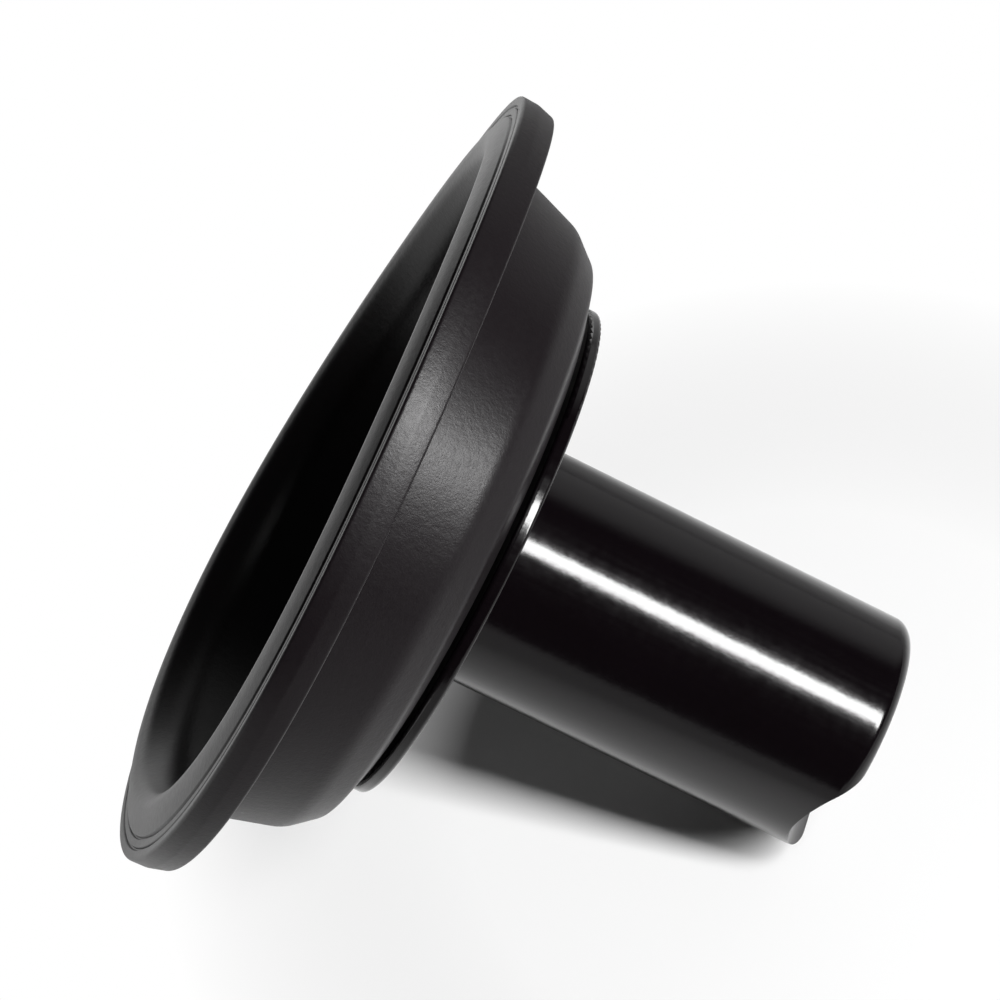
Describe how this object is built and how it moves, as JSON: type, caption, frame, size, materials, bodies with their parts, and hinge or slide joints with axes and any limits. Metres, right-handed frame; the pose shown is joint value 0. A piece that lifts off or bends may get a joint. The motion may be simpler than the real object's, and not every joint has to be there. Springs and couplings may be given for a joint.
{
  "type": "carburettor vacuum slide with diaphragm",
  "caption": "Round carburettor vacuum slide with a thin flange, an arched bottom end and a moulded rubber diaphragm cup with a sealing rim, held by a retaining ring.",
  "frame": {"origin": "on the slide's axis, level with its bottom end face", "axes": "+Z along the slide's axis, from its bottom end towards the open side of the diaphragm cup, the way the slide lifts; X along the air flow, which is the direction of the arched relief and of the off-centre vacuum hole"},
  "size_m": [0.0536, 0.0536, 0.0394],
  "materials": {
    "slide_plastic": "hard glossy black",
    "diaphragm_rubber": "satin charcoal",
    "ring_plastic": "matt black"
  },
  "bodies": {
    "rim": {"diaphragm": "diaphragm_rubber"},
    "slide": {"throttle_slide": "slide_plastic", "retaining_ring": "ring_plastic"}
  },
  "joints": [
    {"name": "slide_lift", "type": "slide", "parent": "rim", "child": "slide", "axis": [0, 0, 1], "range_m": [0, 0.016], "stiffness_N_per_m": 60, "deforming": ["diaphragm"]}
  ]
}
